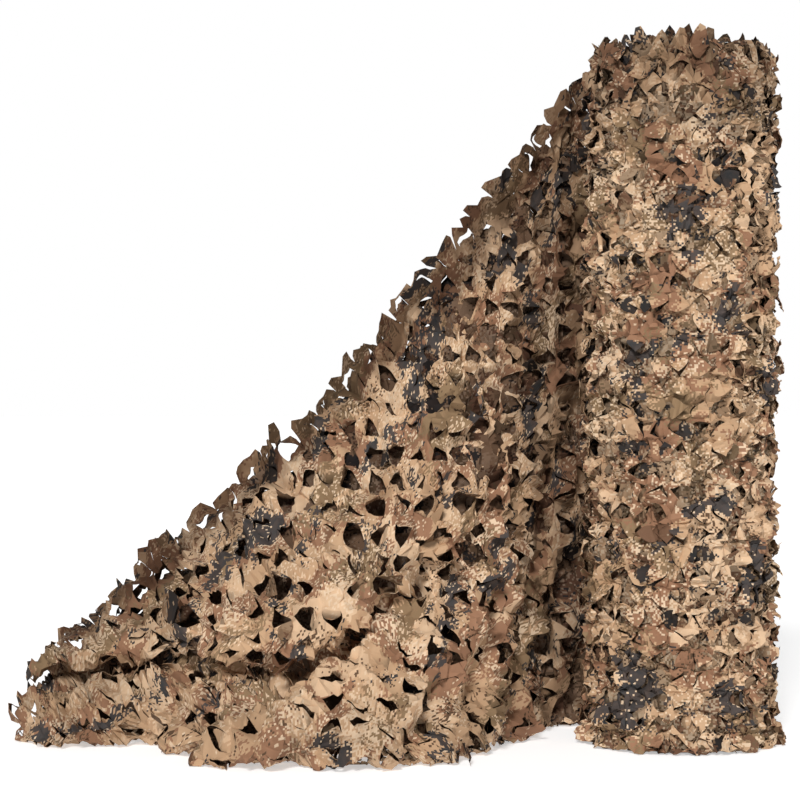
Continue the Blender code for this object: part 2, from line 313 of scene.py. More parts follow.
DRAPE, COLUMN_AT, TO_NOSE, SECTION_AT, LEVEL = drape_grid()
print("drape reaches x", DRAPE[0][..., 0].min().round(3), "to", DRAPE[0][..., 0].max().round(3))
print("cloth from the selvedge to the floor: from", TO_NOSE.max().round(3), "to", TO_NOSE.min().round(3))

# %% [markdown]
# ## The leaf-cut cloth
#
# One cell of the net is a square of cloth with a leaf-shaped slit in it. The slit runs round the leaf
# but for a short hinge, so the leaf stays attached and bends out, and the hole it leaves is the gap.
# Sixteen points go round the square and sixteen round the slit, which gives a ring of sixteen faces.
# The leaf itself is six rows of two faces and a pointed tip. Neighbouring cells share the points of
# their squares, so the net is one connected mesh. Where four cells meet, the cloth between the slits
# is a star with four arms, and each star leans its own way.
#
# The cloth's unevenness is a height over its flat shape. Waves make it billow, ridges of two crossed
# waves make it creased, and a lean for every star tips the arms of one over those of the next.

# %% Unevenness of the cloth
def waves(flat, rng, count, shortest, longest):
    """Sum of sine waves in every direction, with wavelengths between two sizes; its spread is about 1."""
    total = 0
    for _ in range(count):
        turn = rng.uniform(0, 2 * math.pi)
        length = math.exp(rng.uniform(math.log(shortest), math.log(longest)))
        reach = 2 * math.pi / length
        total = total + np.sin(reach * (flat[..., 0] * math.cos(turn) + flat[..., 1] * math.sin(turn))
                               + rng.uniform(0, 2 * math.pi))
    return total * math.sqrt(2 / count)


def creases(flat, rng, shortest, longest):
    """Creased cloth: the absolute values of two fields of waves, which are ridges, one less the other."""
    one, other = (np.abs(waves(flat, rng, 10, shortest, longest)) for _ in range(2))
    return 1.3 * (one - other)


def star_height(place, leans):
    """Height of leaning stars: each corner's plane, blended to the next by a steep step at the necks."""
    whole = np.clip(np.floor(place), 0, np.array(leans.shape[:2]) - 2).astype(int)
    part = place - whole
    step = np.clip(part, 0, 1)
    for _ in range(2):
        step = step * step * (3 - 2 * step)
    total = 0
    for di in (0, 1):
        for dj in (0, 1):
            near_i = step[..., 0] if di else 1 - step[..., 0]
            near_j = step[..., 1] if dj else 1 - step[..., 1]
            lean = leans[whole[..., 0] + di, whole[..., 1] + dj]
            plane = (part[..., 0] - di) * lean[..., 0] + (part[..., 1] - dj) * lean[..., 1]
            total = total + near_i * near_j * plane
    return total


# %% [markdown]
# The net starts with its squares. Corners, sides along and sides across are three arrays of points,
# and a table of numbers says which sixteen of them go round each cell. An outer side of the cloth is
# drawn out into leaf tips, as the cutter leaves it, and the corners between the tips are notched.

# %% The squares of the net
SIDE_STEPS = 4
RING = 4 * SIDE_STEPS
TIP_SHAPE = np.array([1.0, 1.3, 0.7])
TIP_LEAST, TIP_MORE = 0.3, 1.5   # every tip is drawn out this far, and some by up to so much more
NOTCH = 0.2


def net_squares(cells, pitch, rng, look, kept):
    """Flat points of all squares, and for each cell the numbers of the sixteen points round it."""
    along, across = cells
    inner = np.arange(1, SIDE_STEPS) / SIDE_STEPS
    corners = np.stack(np.indices((along + 1, across + 1)), axis=-1).astype(float)
    i, j = np.indices((along, across + 1))[..., None]
    sides_a = np.stack([i + inner, j + 0 * inner], axis=-1)
    i, j = np.indices((along + 1, across))[..., None]
    sides_w = np.stack([i + 0 * inner, j + inner], axis=-1)

    # 1 or -1 where a side is an outer one; none at the start, where the cloth goes on
    padded = np.pad(kept, 1).astype(int)
    way_a = padded[1:-1, :-1] - padded[1:-1, 1:]
    way_w = padded[:-1, 1:-1] - padded[1:, 1:-1]
    way_w[0] = 0
    tip = look["edge"] / pitch * TIP_SHAPE
    for sides, way, axis in ((sides_a, way_a, 1), (sides_w, way_w, 0)):
        draw = (TIP_LEAST + TIP_MORE * rng.random(way.shape + (1,)) ** 2) * tip
        draw = np.where(rng.random(way.shape + (1,)) < 0.5, draw, draw[..., ::-1])
        sides[..., axis] += way[..., None] * draw
    notch = NOTCH * look["edge"] / pitch
    corners[:-1, :, 1] -= notch * way_a
    corners[1:, :, 1] -= notch * way_a
    corners[:, :-1, 0] -= notch * way_w
    corners[:, 1:, 0] -= notch * way_w
    corners[1:-1, 1:-1] += look["jitter"] * rng.uniform(-1, 1, corners[1:-1, 1:-1].shape)
    square = np.concatenate([part.reshape(-1, 2) for part in (corners, sides_a, sides_w)]) * pitch

    first_a = corners.shape[0] * corners.shape[1]
    first_w = first_a + sides_a.size // 2
    between = np.arange(SIDE_STEPS - 1)
    i, j = np.indices(cells).reshape(2, -1)

    # numbers of the corners, and of the three points on each side along and on each side across
    def corner_id(a, b):
        return (a * (across + 1) + b)[:, None]

    def along_id(a, b):
        return first_a + (a * (across + 1) + b)[:, None] * (SIDE_STEPS - 1) + between

    def across_id(a, b):
        return first_w + (a * across + b)[:, None] * (SIDE_STEPS - 1) + between

    loop = np.concatenate([
        corner_id(i, j), along_id(i, j), corner_id(i + 1, j), across_id(i + 1, j),
        corner_id(i + 1, j + 1), along_id(i, j + 1)[:, ::-1], corner_id(i, j + 1),
        across_id(i, j)[:, ::-1]], axis=1)
    return square, loop


# %% [markdown]
# Then come the leaves. Each has its own size, width, sway and turn about the middle of its cell, and
# the same rows of places serve twice: flat, they are the slit and say where the print sits, and bent
# out of the cloth, they are the leaf.

# %% The leaves
LEAF_PLACE = np.array([0.0, 0.12, 0.27, 0.42, 0.57, 0.72, 0.87, 1.0])
LEAF_ROWS = len(LEAF_PLACE) - 2
TIP_FACES = 6
HINGE = 0.72                   # width at the hinge, before the leaf widens
WIDENS = 2.2
SWAY_ROOT = 0.30
LEAF_RANGE = {"size": (0.88, 1.10), "width": (0.85, 1.12), "sway": (0.4, 1.2), "turn": (-0.38, 0.38),
              "shut": (0.3, 1.7), "over": (2.2, 2.8), "cup": (-0.55, 0.60)}
OVER_CURL = 0.2
ROLLS_IN = 0.25                # share of the leaf's length in which it rolls out of the cloth
SLIT_ROWS = [LEAF_ROWS + 1, *range(LEAF_ROWS, 0, -1), 0, 0, 0, *range(1, LEAF_ROWS + 1)]
SLIT_SIDES = np.concatenate([[0], np.ones(LEAF_ROWS), [1, 0, -1], -np.ones(LEAF_ROWS)])

Leaves = namedtuple("Leaves", "quarter slit rim lying height printed root")


def leaf_half_width(t, sharp):
    """Half width along each leaf, as a share of its widest: (hinge + widening t) (1 - t) ^ sharp."""
    half = (HINGE + WIDENS * t) * (1 - t) ** sharp[:, None]
    return half / half.max(axis=1, keepdims=True)


def cut_leaves(cells, pitch, rng, look, opening):
    """Slit, rim, lying places, heights, print places and roots of the leaves of all cells.

    A leaf bends little where the net is shut and more where it is open, and a few fold right over. It
    rolls out of the cloth by its bend in the first part of its length, and curls on from there. Its
    root is where it takes its height from: its own place where it lies loose, its hinge where not.
    """
    i, j = np.indices(cells).reshape(2, -1)
    count = len(i)
    opened = opening.ravel()
    loose = look["loose"] + (1 - look["loose"]) * opened
    shut, over_share = (np.broadcast_to(look[name], cells).ravel() for name in ("shut", "over"))

    def spread(name):
        """A random number for every leaf, in the range of that name."""
        return rng.uniform(*LEAF_RANGE[name], count)

    size = pitch * look["leaf"] * spread("size")
    width = 0.5 * pitch * look["width"] * spread("width")
    curve = pitch * look["sway"] * rng.choice([-1.0, 1.0], count) * spread("sway")
    quarter = (i + 2 * j + (j // 2)) % 4
    turn = quarter * math.pi / 2 + spread("turn")
    side = np.where(rng.random(count) < look["outward"], 1.0, -1.0)
    bend = shut * spread("shut") + opened * rng.uniform(*look["bend"], count)
    over = (rng.random(count) < over_share * opened) & (side > 0)
    bend = np.where(over, spread("over"), bend)
    curl = np.where(over, OVER_CURL, loose * rng.uniform(*look["curl"], count))

    t = LEAF_PLACE
    spine = np.outer(size, t - 0.5)
    sway = np.outer(curve, t**2 - SWAY_ROOT)
    half = width[:, None] * leaf_half_width(t, rng.uniform(*look["sharp"], count))

    def place(a, w):
        """Turn a leaf's own places about its cell's middle."""
        cos, sin = np.cos(turn)[:, None], np.sin(turn)[:, None]
        return np.stack([(i[:, None] + 0.5) * pitch + a * cos - w * sin,
                         (j[:, None] + 0.5) * pitch + a * sin + w * cos], axis=-1)

    # round the slit: tip, down the left side, hinge, up the right side
    slit_a = spine[:, SLIT_ROWS]
    slit = place(slit_a, sway[:, SLIT_ROWS] + SLIT_SIDES * half[:, SLIT_ROWS])
    rim = -(side * loose / size)[:, None] * 2 * look["lift"] * slit_a

    middle_t = 0.5 * (t[1:] + t[:-1])
    rolled = np.clip((middle_t + 0.05) / ROLLS_IN, 0, 1)
    slope = side[:, None] * (bend[:, None] * rolled + curl[:, None] * middle_t)
    step = size[:, None] * np.diff(t)
    run = np.cumsum(step * np.cos(slope), axis=1) - 0.5 * size[:, None]
    rise = np.cumsum(step * np.sin(slope), axis=1)
    cup = (loose * spread("cup"))[:, None] * half[:, 1:]
    lying, height, printed = [], [], []
    blade, tip = slice(0, LEAF_ROWS), slice(LEAF_ROWS, LEAF_ROWS + 1)
    for edge_side, rows in ((1, blade), (0, blade), (-1, blade), (0, tip)):
        wide = (sway[:, 1:] + edge_side * half[:, 1:])[:, rows]
        lying.append(place(run[:, rows], wide))
        height.append((rise + side[:, None] * cup * (abs(edge_side) - 0.5))[:, rows])
        printed.append(place(spine[:, 1:][:, rows], wide))
    lying, height, printed = (np.concatenate(rows, axis=1) for rows in (lying, height, printed))
    hinge = slice(LEAF_ROWS + 2, LEAF_ROWS + 3)
    root = lying + loose[:, None, None] * (slit[:, hinge] - lying)
    return Leaves(quarter, slit, rim, lying, height + rim[:, hinge], printed, root)


# %% [markdown]
# Faces join the numbers of the points: a ring of quads from each square to its slit, two columns of
# quads up the leaf, and two triangles at its tip. Last, points that no kept cell uses are dropped.

# %% Faces, and the whole net
RELIEF_WAVES = (1.6, 4.0)      # lengths of the waves in the cloth, in pitches
CRUMPLE_WAVES = (0.5, 1.1)     # and of its creases


def net_faces(loop, quarter, first, kept):
    """Quads and triangles of the kept cells; the slits' points start at number first, then the leaves'."""
    cell = np.arange(len(loop))[:, None]
    slit_id = first + cell * RING + np.arange(RING)
    facing = (np.arange(RING) + TIP_FACES + SIDE_STEPS * quarter[:, None]) % RING
    outer = np.take_along_axis(loop, facing, axis=1)
    ring = np.stack([outer, np.roll(outer, -1, axis=1), np.roll(slit_id, -1, axis=1), slit_id], axis=-1)
    start = first + len(loop) * RING + cell * (3 * LEAF_ROWS + 1)
    left, mid, right = (
        np.concatenate([slit_id[:, LEAF_ROWS + 1 + k:LEAF_ROWS + 2 + k],
                        start + k * LEAF_ROWS + np.arange(LEAF_ROWS)], axis=1) for k in range(3))
    tip = start + 3 * LEAF_ROWS
    leaf = np.concatenate([
        np.stack([left[:, :-1], mid[:, :-1], mid[:, 1:], left[:, 1:]], axis=-1),
        np.stack([mid[:, :-1], right[:, :-1], right[:, 1:], mid[:, 1:]], axis=-1)], axis=1)
    point = np.stack([np.concatenate([left[:, -1:], mid[:, -1:], tip], axis=1),
                      np.concatenate([mid[:, -1:], right[:, -1:], tip], axis=1)], axis=1)
    stay = kept.ravel()
    return (np.concatenate([ring[stay].reshape(-1, 4), leaf[stay].reshape(-1, 4)]),
            point[stay].reshape(-1, 3))


def leaf_net(cells, pitch, rng, look, kept=None, opening=1.0):
    """Print places, lying places, heights and faces of a leaf-cut net of cells (along, across).

    look holds the sizes: leaf and width of a leaf and sway of its tip as shares of the pitch, how sharp
    it is, its bend where the net is shut and where it is open and its curl in radians, the share that
    bends outwards and the share folded right over, the lean of the stars, the relief and crumple of the
    cloth, the lift of a slit's rim, how loose shut leaves are, and the reach of edge tips.
    kept says which cells are cloth, and opening, from 0 to 1, how far the net is pulled open in each.
    """
    kept = np.ones(cells, bool) if kept is None else kept
    opening = np.broadcast_to(opening, cells)
    square, loop = net_squares(cells, pitch, rng, look, kept)
    leaves = cut_leaves(cells, pitch, rng, look, opening)
    printed, flat, rests = (np.concatenate([square, leaves.slit.reshape(-1, 2), part.reshape(-1, 2)])
                            for part in (leaves.printed, leaves.lying, leaves.root))
    leans = look["lean"] * rng.normal(0, 1, (cells[0] + 1, cells[1] + 1, 2))
    leans[:-1, :-1] *= (0.5 + 0.5 * opening)[..., None]
    height = pitch * star_height(rests / pitch, leans)
    height += look["relief"] * waves(rests, rng, 14, *(share * pitch for share in RELIEF_WAVES))
    height += look["crumple"] * creases(printed, rng, *(share * pitch for share in CRUMPLE_WAVES))
    height[len(square):] += np.concatenate([leaves.rim.ravel(), leaves.height.ravel()])

    quads, triangles = net_faces(loop, leaves.quarter, len(square), kept)
    used, index = np.unique(np.concatenate([quads.ravel(), triangles.ravel()]), return_inverse=True)
    quads, triangles = index[:quads.size].reshape(-1, 4), index[quads.size:].reshape(-1, 3)
    return printed[used], flat[used], height[used], quads, triangles


# %% [markdown]
# The arrays become a mesh in one go with foreach_set. The cloth gets its thickness from a Solidify
# modifier, which is applied so that creases sharper than 28 degrees can be marked: that keeps the cut
# edges and the folds crisp and lets the cloth between them shade softly.

# %% From arrays to a mesh of cloth
CLOTH = 0.0007                 # thickness
CREASE = math.radians(28)


def mesh_from_arrays(name, points, quads, triangles, printed):
    """A mesh of quads and triangles, with the flat places of its points as a UV map in metres."""
    mesh = bpy.data.meshes.new(name)
    corners = np.concatenate([quads.ravel(), triangles.ravel()]).astype(np.int32)
    starts = np.concatenate([np.arange(len(quads)) * 4, len(quads) * 4 + np.arange(len(triangles)) * 3])
    mesh.vertices.add(len(points))
    mesh.loops.add(len(corners))
    mesh.polygons.add(len(starts))
    mesh.vertices.foreach_set("co", points.astype(np.float32).ravel())
    mesh.loops.foreach_set("vertex_index", corners)
    mesh.polygons.foreach_set("loop_start", starts.astype(np.int32))
    flat_print = mesh.uv_layers.new(name="flat")
    flat_print.data.foreach_set("uv", printed[corners].astype(np.float32).ravel())
    mesh.update(calc_edges=True)
    mesh.validate()
    return mesh


def cloth_piece(name, points, quads, triangles, printed, material, dark=0.0, print_outside=True):
    """An object of thin cloth: the sheet, thickened, smooth but for its creases and cut edges.

    dark says for each point how much darker the print is painted there, 0 to 1, as painted shade. The
    first half of the thickened sheet's faces is its inner side, and the side without print gets the
    attribute reverse.
    """
    sheet = mesh_from_arrays(name, points, quads, triangles, printed)
    ground = np.broadcast_to(dark, len(points)).astype(np.float32)
    sheet.attributes.new("dark", "FLOAT", "POINT").data.foreach_set("value", ground)
    piece = placed(name, sheet)
    wall = piece.modifiers.new("cloth", "SOLIDIFY")
    wall.thickness = CLOTH
    wall.offset = 0.0
    evaluated = piece.evaluated_get(bpy.context.evaluated_depsgraph_get())
    solid = bpy.data.meshes.new_from_object(evaluated)
    reverse = np.zeros(len(solid.polygons), np.float32)
    first = 0 if print_outside else len(sheet.polygons)
    reverse[first:first + len(sheet.polygons)] = 1
    solid.attributes.new("reverse", "FLOAT", "FACE").data.foreach_set("value", reverse)
    piece.modifiers.clear()
    piece.data = solid
    solid.name = name
    bpy.data.meshes.remove(sheet)
    solid.shade_smooth()
    solid.set_sharp_from_angle(angle=CREASE)
    solid.materials.clear()
    solid.materials.append(material)
    triangle_count = sum(len(p.vertices) - 2 for p in solid.polygons)
    print(name, len(solid.vertices), "points,", triangle_count, "triangles")
    return piece


# %% [markdown]
# ## The print
#
# The cloth is printed in five desert colours: tan, sand, brown, khaki and a blue-grey charcoal. The
# shapes are made of small squares, and where two colours meet the squares scatter into each other. A
# shader can do that from the flat place of each point: round the place to whole squares, read a smooth
# noise there, and add a random number of that square before comparing.

# %% A small language for shader nodes
class Sock:
    """A socket with the operators + - * > <, each of which adds one Math node."""

    def __init__(self, nodes, socket):
        self.nodes = nodes
        self.socket = socket


def math_node(operation):
    """An operator of Sock: it adds the Math node of one operation to the socket and another value."""
    return lambda sock, other: sock.nodes.add("ShaderNodeMath", {"operation": operation},
                                              {0: sock, 1: other})


for operator, operation in (("add", "ADD"), ("sub", "SUBTRACT"), ("mul", "MULTIPLY"),
                            ("gt", "GREATER_THAN"), ("lt", "LESS_THAN")):
    setattr(Sock, f"__{operator}__", math_node(operation))


class Nodes:
    """The node tree of one material, with a single method that adds any node."""

    def __init__(self, name):
        self.material = bpy.data.materials.new(name)
        self.material.use_nodes = True
        self.tree = self.material.node_tree
        self.shader = self.tree.nodes["Principled BSDF"]

    def link(self, value, target):
        """Feed a socket from another one, or set its constant."""
        if isinstance(value, Sock):
            self.tree.links.new(value.socket, target)
        else:
            target.default_value = value

    def add(self, kind, settings=None, inputs=None, output=0):
        """Add a node, set its settings, then fill its sockets with values or links; gives an output."""
        node = self.tree.nodes.new(kind)
        for key, value in (settings or {}).items():
            setattr(node, key, value)
        for key, value in (inputs or {}).items():
            self.link(value, node.inputs[key])
        return Sock(self, node.outputs[output])

    def mix(self, factor, colour_a, colour_b, blend="MIX"):
        """Blend two colours by a factor."""
        return self.add("ShaderNodeMix", {"data_type": "RGBA", "blend_type": blend},
                        {0: factor, 6: colour_a, 7: colour_b}, output=2)


# %% [markdown]
# All pieces share the recipe, and each gets its own copy, so that the roll's hidden turns can be
# painted darker than the leaves outside, as painted shade. The squares are 4 mm. Crowds of single
# squares in a darker and a lighter shade are the speckles. The back of the cloth is unprinted and
# darker. The attribute dark adds painted shade where the cloth lies in shadow.

# %% The printed polyester
PRINT_SQUARE = 0.0041
WEAVE = 420.0                  # scale of the weave's bands
SHEEN_LEFT = 0.15              # polyester this matt has little gloss left
TAN = (0.54, 0.350, 0.207)
SAND = (0.69, 0.480, 0.305)
BROWN = (0.31, 0.163, 0.094)
KHAKI = (0.27, 0.180, 0.098)
CHARCOAL = (0.036, 0.042, 0.046)
DARK_SPECK = (0.09, 0.055, 0.032)
LIGHT_SPECK = (0.74, 0.56, 0.385)
# The unprinted back's own colour. Painted shade also darkens the print towards it.
DARK_GROUND = (0.24, 0.21, 0.19)
# Near black: painted shadow, for the side of the layers behind the slope that faces the front.
SHADOW_GROUND = (0.03, 0.0, 0.0)
Patch = namedtuple("Patch", "colour shift scale scatter above")
PATCHES = (Patch(BROWN, 3.0, 8.0, 0.07, 0.505), Patch(SAND, 17.0, 10.0, 0.06, 0.565),
           Patch(KHAKI, 29.0, 7.0, 0.10, 0.580))


def printed_cloth(name, shade=1.0, ground=DARK_GROUND):
    """Desert print in small squares on matt polyester, with a plain weave and faint creases.

    A patch of colour is where a smooth noise, plus a scattered share of a random number, is above a limit.
    """
    n = Nodes(name)
    uv = n.add("ShaderNodeUVMap", {"uv_map": "flat"})

    def squares(shift):
        """The flat place rounded down to whole squares, in a part of the noise of its own."""
        whole = n.add("ShaderNodeVectorMath", {"operation": "SNAP"}, {0: uv, 1: (PRINT_SQUARE,) * 3})
        return n.add("ShaderNodeVectorMath", {"operation": "ADD"},
                     {0: whole, 1: (shift, 1.7 * shift, 0.37)})

    def noise(vector, scale, detail=2.0, roughness=0.5):
        """Smooth noise, around 0.5."""
        return n.add("ShaderNodeTexNoise", {"noise_dimensions": "3D"},
                     {"Vector": vector, "Scale": scale, "Detail": detail, "Roughness": roughness})

    def dice(vector):
        """A random number for each square, 0 to 1."""
        return n.add("ShaderNodeTexWhiteNoise", {"noise_dimensions": "3D"}, {"Vector": vector})

    def tint(colour):
        """A colour of the print, darkened by this piece's shade, which is painted shade."""
        return (*[c * shade for c in colour], 1)

    def bands(direction):
        """Even bands of the weave in one direction."""
        return n.add("ShaderNodeTexWave", {"wave_type": "BANDS", "bands_direction": direction},
                     {"Vector": uv, "Scale": WEAVE, "Distortion": 0.0})

    def attribute(name):
        """A value that the mesh stores under a name."""
        return n.add("ShaderNodeAttribute", {"attribute_type": "GEOMETRY", "attribute_name": name},
                     output="Fac")

    scatter = dice(squares(2.0)) - 0.5
    colour = tint(TAN)
    for patch in PATCHES:
        level = noise(squares(patch.shift), patch.scale, 3.0) + scatter * patch.scatter
        colour = n.mix(level > patch.above, colour, tint(patch.colour))

    dark_crowd = noise(uv, 9.0, 2.0) * 2.0 - 1.06
    light_crowd = noise(squares(23.0), 8.0, 2.0) * 2.2 - 0.98
    colour = n.mix(dice(squares(31.0)) < dark_crowd, colour, tint(DARK_SPECK))
    colour = n.mix(dice(squares(43.0)) < light_crowd, colour, tint(LIGHT_SPECK))
    charcoal = noise(squares(47.0), 7.5, 3.0, 0.6) + scatter * 0.06 > 0.592
    colour = n.mix(charcoal, colour, tint(CHARCOAL))
    colour = n.mix(charcoal * (dice(squares(37.0)) > 0.95), colour, tint(LIGHT_SPECK))

    wear_off = noise(uv, 40.0, 3.0, 0.6)
    colour = n.mix((wear_off - 0.5) * 0.45 + 0.12, colour, tint(BROWN))

    relief = (bands("X") + bands("Y")) * 0.05 + noise(uv, 60.0, 3.0, 0.55)
    bump = n.add("ShaderNodeBump", {}, {"Strength": 0.30, "Distance": 0.004, "Height": relief})

    # The back is unprinted and darker. The attribute dark adds painted shade, blotched by noise.
    reverse, dark = attribute("reverse"), attribute("dark")
    shade_blotches = noise(uv, 14.0, 2.0) * 1.6 - 0.1
    colour = n.mix(reverse * 0.80 + dark * shade_blotches, colour, (*ground, 1), "MULTIPLY")
    n.link(colour, n.shader.inputs["Base Color"])
    n.link((wear_off - 0.5) * 0.25 + 0.78, n.shader.inputs["Roughness"])
    n.link(bump, n.shader.inputs["Normal"])
    n.shader.inputs["Specular IOR Level"].default_value = SHEEN_LEFT
    return n.material


# %% [markdown]
# ## The loose end
#
# The rows of cells run level with the floor, so the upper selvedge cuts across them and ends in steps
# of leaves. A cell belongs to the cloth where the middle of it lies between the two selvedges. The
# print is placed by the true place on the cloth, so it isn't drawn out where the cells are. Points
# that would dip under the floor are turned back up, as a leaf lying on the floor would be.

# %% Where the net's cells lie on the cloth
COLUMNS = 31
ROWS_UP = 28
ROWS_UNDER = math.ceil(-LEVEL.min() / NET_PITCH)
EVEN_IN_VIEW = 0.65            # columns are even partly in the view from the front, partly on the cloth
FLOOR_GAP = 0.0006

side_run = 0.5 * (np.abs(SECTION_AT["top_x"]) + np.abs(SECTION_AT["toe_x"]))
COLUMN_RUN = (1 - EVEN_IN_VIEW) * COLUMN_AT + EVEN_IN_VIEW * side_run
COLUMN_RUN *= COLUMNS * NET_PITCH / COLUMN_RUN[-1]
LEVELS = np.linspace(LEVEL.min(), LEVEL.max(), 400)
ACROSS_AT = np.stack([np.interp(-LEVELS, -column, np.linspace(0, NET_WIDTH, len(column)))
                      for column in LEVEL])


print("the loose end's net:", COLUMNS, "columns of cells,", ROWS_UP + ROWS_UNDER, "rows")


def above_floor(points):
    """Turn points back up that would lie lower than the floor."""
    points[:, 2] = np.abs(points[:, 2] - FLOOR_GAP) + FLOOR_GAP
    return points


def wear(piece, *nodes):
    """Let a piece ride on the part and stand for CAD nodes, which it hides."""
    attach(piece, "root")
    if nodes:
        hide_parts(*nodes)


def cell_middles(cells, pitch):
    """Middles of a net's cells in metres."""
    return (np.stack(np.indices(cells), axis=-1) + 0.5) * pitch


def slope_place(flat):
    """Place on the cloth, along and across, of a place in the net, and the cloth from there to the nose.

    A row of the net keeps to one level, so across is read from the table of levels; past the upper
    selvedge it goes on below zero.
    """
    along = np.interp(flat[..., 0], COLUMN_RUN, COLUMN_AT)
    level = flat[..., 1] - ROWS_UNDER * NET_PITCH
    share = (level - LEVELS[0]) / (LEVELS[-1] - LEVELS[0])
    across = read_grid(ACROSS_AT[..., None], along / LOOSE_LENGTH, np.clip(share, 0, 1))[..., 0]
    across = across - np.maximum(level - np.interp(along, COLUMN_AT, SECTION_AT["top_z"]), 0)
    across = across + np.maximum(np.interp(along, COLUMN_AT, LEVEL[:, -1]) - level, 0)
    return np.stack([along, across], axis=-1), np.interp(along, COLUMN_AT, TO_NOSE) - across


# %% [markdown]
# The net isn't pulled open evenly. In the middle of the slope its own weight opens the slits. At the
# foot, at the ends and along the selvedge it stays nearly shut. Each such change is one row: by how
# much, and where on the cloth it starts and ends. The same kind of row says where painted shade darkens
# the cloth and where its leaves lie tumbled over each other.

# %% Loose end
SLOPE_LOOK = {"leaf": 0.79, "width": 0.79, "sway": 0.22, "sharp": (0.95, 1.7), "shut": 0.30,
              "bend": (0.15, 1.05), "curl": (-0.4, 1.0), "outward": 0.42, "over": 0.16, "lean": 0.38,
              "relief": 0.0065, "crumple": 0.0042, "lift": 0.0060, "loose": 0.45, "edge": 0.019,
              "jitter": 0.18}
Change = namedtuple("Change", "amount start end")
OPENS_UP = Change(0.80, 0.26, 0.54)
OPENS_ACROSS = Change(0.85, 0.03, 0.14)
OPENS_ALONG = Change(0.45, 0.10, 0.45)
SHUTS_FAR = Change(0.55, 1.15, 1.45)
SHUTS_AT_END = Change(0.40, 1.60, 1.90)
POUCH = {"along": 0.22, "up": 0.28, "length": 0.10, "height": 0.14}   # where it gapes beside the roll
# Painted shade: how much darker the cloth is painted at the selvedge, the far end, beside the roll and at
# the hem, and where that starts and ends.
SHADE_AT_SELVEDGE = Change(1.60, 0.02, 0.22)
SHADE_AT_FAR_END = Change(0.45, 1.40, 1.80)
SHADE_BESIDE_ROLL = Change(1.15, 0.14, 0.62)
SHADE_AT_HEM = Change(0.33, 0.03, 0.18)
TIGHT_AT_END = Change(0.8, 1.70, 1.95)
LOOSER_ACROSS = Change(0.6, 0.03, 0.12)
OVER_ACROSS = Change(SLOPE_LOOK["over"], 0.08, 0.16)
TUMBLED_ALONG = Change(0.75, 0.75, 1.15)
TUMBLED_UP = (0.18, 0.42)
LOW_FOLDS = Change(0.017, 0.25, 0.60)
SLANTING = ((0.95, 0.150, 0.4), (0.65, 0.230, 2.1), (1.25, 0.105, 4.0))   # slant, length, start


def grows(value, change):
    """A change's amount, growing from its start to its end."""
    return change.amount * ramp(value, change.start, change.end)


def fades(value, change):
    """A change's amount, fading from its start to its end."""
    return change.amount * (1 - ramp(value, change.start, change.end))


def slope_opening(rng, cells):
    """How far the net is pulled open: wide in the middle of the slope, nearly shut at foot and ends."""
    middles = cell_middles(cells, NET_PITCH)
    lying, up = slope_place(middles)
    along, across = lying[..., 0], lying[..., 1]
    opening = 0.20 + grows(up, OPENS_UP)
    opening *= 0.15 + grows(across, OPENS_ACROSS)
    opening *= 0.55 + grows(along, OPENS_ALONG)
    opening *= 1 - grows(along, SHUTS_FAR) - grows(along, SHUTS_AT_END)
    opening += 0.8 * np.exp(-((along - POUCH["along"]) / POUCH["length"]) ** 2
                            - ((up - POUCH["up"]) / POUCH["height"]) ** 2)
    return np.clip(opening * (1 + 0.22 * waves(middles, rng, 10, 0.15, 0.45)), 0.03, 1)


def slope_painted_shade(lying, up):
    """Painted shade: the print darkens towards the dark ground at the selvedge, the far end, beside the
    roll and at the hem.
    """
    along, across = lying[:, 0], lying[:, 1]
    return np.maximum.reduce([fades(across, SHADE_AT_SELVEDGE), grows(along, SHADE_AT_FAR_END),
                              fades(along, SHADE_BESIDE_ROLL), fades(up, SHADE_AT_HEM)])


def slanting_folds(flat):
    """Folds that slant up to the right, where the hem is pushed together: sine waves, crests sharpened."""
    total = 0
    for slant, length, start in SLANTING:
        along_fold = flat[:, 0] * math.sin(slant) + flat[:, 1] * math.cos(slant)
        total = total + np.sin(2 * math.pi * along_fold / length + start)
    return 0.6 * total - 0.25 * np.abs(total)


def slope_look(cells):
    """SLOPE_LOOK, and how tight leaves lie, how many fold over and how stars lean from place to place."""
    middles = slope_place(cell_middles(cells, NET_PITCH))[0]
    along, across = middles[..., 0], middles[..., 1]
    tight = (1 - grows(along, TIGHT_AT_END)) * (0.4 + grows(across, LOOSER_ACROSS))
    corners = cell_middles((cells[0] + 1, cells[1] + 1), NET_PITCH) - 0.5 * NET_PITCH
    corner_at, corner_up = slope_place(corners)
    tumbled = 1 + (0.15 + grows(corner_at[..., 0], TUMBLED_ALONG)) * (1 - ramp(corner_up, *TUMBLED_UP))
    return {**SLOPE_LOOK, "shut": SLOPE_LOOK["shut"] * tight, "over": grows(across, OVER_ACROSS),
            "lean": SLOPE_LOOK["lean"] * tumbled[..., None]}


